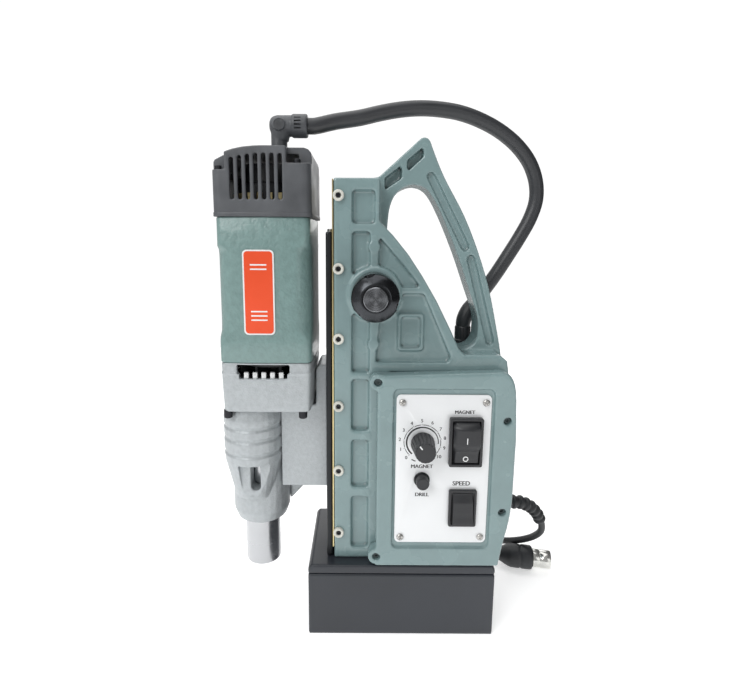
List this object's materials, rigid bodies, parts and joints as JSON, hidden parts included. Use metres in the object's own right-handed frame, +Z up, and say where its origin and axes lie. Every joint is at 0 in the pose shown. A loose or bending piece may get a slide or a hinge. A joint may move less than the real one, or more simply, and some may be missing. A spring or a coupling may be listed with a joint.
{
  "type": "magnetic drill press",
  "caption": "Magnetic drill press: electromagnet base, cast frame with D-handle, sliding motor and spindle carriage, feed hub, control panel and flexible leads.",
  "frame": {"origin": "centre of the magnet's bottom contact face", "axes": "+Z up along the column and the spindle, +X from the column towards the control box and handle, -Y out of the control panel towards the operator"},
  "size_m": [0.3194, 0.1751, 0.454],
  "materials": {
    "frame_paint": "glossy grey-green enamel over a slightly lumpy casting",
    "motor_paint": "hammered grey-green enamel",
    "magnet_paint": "satin dark grey paint, scuffed at the edges",
    "rail_black": "blackened satin steel",
    "cast_silver": "silver hammered paint on cast aluminium",
    "black_plastic": "moulded black plastic, fine texture",
    "panel_white": "smooth off-white plate",
    "screw_steel": "bright plated screws",
    "bright_steel": "ground and turned steel",
    "dark_steel": "blued turned steel",
    "brass": "ground brass",
    "copper": "lacquered copper winding",
    "black_rubber": "smooth black rubber",
    "label_orange": "glossy printed label with a pale border",
    "board_green": "green circuit board"
  },
  "bodies": {
    "frame": {"magnet_body": "magnet_paint", "magnet_coil_1": "copper", "magnet_coil_2": "copper", "magnet_top_plate": "magnet_paint", "frame_casting": "frame_paint", "control_cover": "frame_paint", "panel_plate": "panel_white", "panel_screw_1": "screw_steel", "panel_screw_2": "screw_steel", "panel_screw_3": "screw_steel", "panel_screw_4": "screw_steel", "magnet_switch_body": "black_plastic", "speed_switch_body": "black_plastic", "button_bezel": "black_plastic", "speed_potentiometer": "screw_steel", "circuit_board": "board_green", "rear_cover": "frame_paint", "gib_front": "brass", "gib_rear": "brass", "gib_screw_1": "screw_steel", "gib_screw_2": "screw_steel", "gib_screw_3": "screw_steel", "gib_screw_4": "screw_steel", "gib_screw_5": "screw_steel", "gib_screw_6": "screw_steel", "hub_bush": "brass", "hose_gland": "black_plastic", "strain_relief": "black_rubber", "power_cord": "black_rubber", "connector_boot": "black_rubber", "connector_shell": "bright_steel", "motor_hose": "black_rubber"},
    "carriage": {"slide_rail": "rail_black", "feed_rack": "bright_steel", "carriage_bracket": "cast_silver", "spindle_housing": "cast_silver", "spindle_bearing": "bright_steel", "gearbox_housing": "cast_silver", "gearbox_plate": "bright_steel", "motor_housing": "motor_paint", "motor_stator": "bright_steel", "brush_carrier": "black_plastic", "motor_label": "label_orange", "motor_cap": "black_plastic", "hose_elbow": "black_plastic"},
    "hub": {"feed_hub": "dark_steel", "hub_face": "dark_steel", "pinion_shaft": "bright_steel"},
    "armature": {"motor_armature": "dark_steel", "motor_fan": "black_plastic"},
    "intermediate": {"intermediate_gear": "bright_steel"},
    "spindle": {"spindle": "bright_steel", "output_gear": "bright_steel"},
    "magnet_rocker": {"magnet_switch_rocker": "black_plastic"},
    "speed_rocker": {"speed_switch_rocker": "black_plastic"},
    "button": {"drill_button": "black_plastic"},
    "knob": {"dial_knob": "black_plastic"}
  },
  "joints": [
    {"name": "carriage_slide", "type": "slide", "parent": "frame", "child": "carriage", "axis": [0, 0, 1], "range_m": [0, 0.11], "deforming": ["motor_hose"]},
    {"name": "hub_spin", "type": "hinge", "parent": "frame", "child": "hub", "pos_m": [-0.0255, 0, 0.2966], "axis": [0, 1, 0], "range_deg": [-1, 530]},
    {"name": "armature_spin", "type": "hinge", "parent": "carriage", "child": "armature", "pos_m": [-0.1126, 0, 0.3], "axis": [0, 0, 1], "continuous": true},
    {"name": "intermediate_spin", "type": "hinge", "parent": "carriage", "child": "intermediate", "pos_m": [-0.11032, 0.01987, 0.21], "axis": [0, 0, 1], "continuous": true},
    {"name": "spindle_spin", "type": "hinge", "parent": "carriage", "child": "spindle", "pos_m": [-0.1263, 0, 0.1], "axis": [0, 0, 1], "continuous": true},
    {"name": "magnet_switch_rock", "type": "hinge", "parent": "frame", "child": "magnet_rocker", "pos_m": [0.0493, -0.0478, 0.1785], "axis": [-1, 0, 0], "range_deg": [0, 12]},
    {"name": "speed_switch_rock", "type": "hinge", "parent": "frame", "child": "speed_rocker", "pos_m": [0.0488, -0.0459, 0.1205], "axis": [1, 0, 0], "range_deg": [0, 12]},
    {"name": "button_press", "type": "slide", "parent": "frame", "child": "button", "axis": [0, 1, 0], "range_m": [0, 0.0025], "stiffness_N_per_m": 400},
    {"name": "dial_turn", "type": "hinge", "parent": "frame", "child": "knob", "pos_m": [0.0145, -0.05, 0.177], "axis": [0, 1, 0], "range_deg": [-150, 150]}
  ],
  "couplings": [
    {"joint": "hub_spin", "follows": "carriage_slide", "rad_per_m": 83.333},
    {"joint": "intermediate_spin", "follows": "armature_spin", "ratio": -0.33333},
    {"joint": "spindle_spin", "follows": "armature_spin", "ratio": 0.13889}
  ]
}
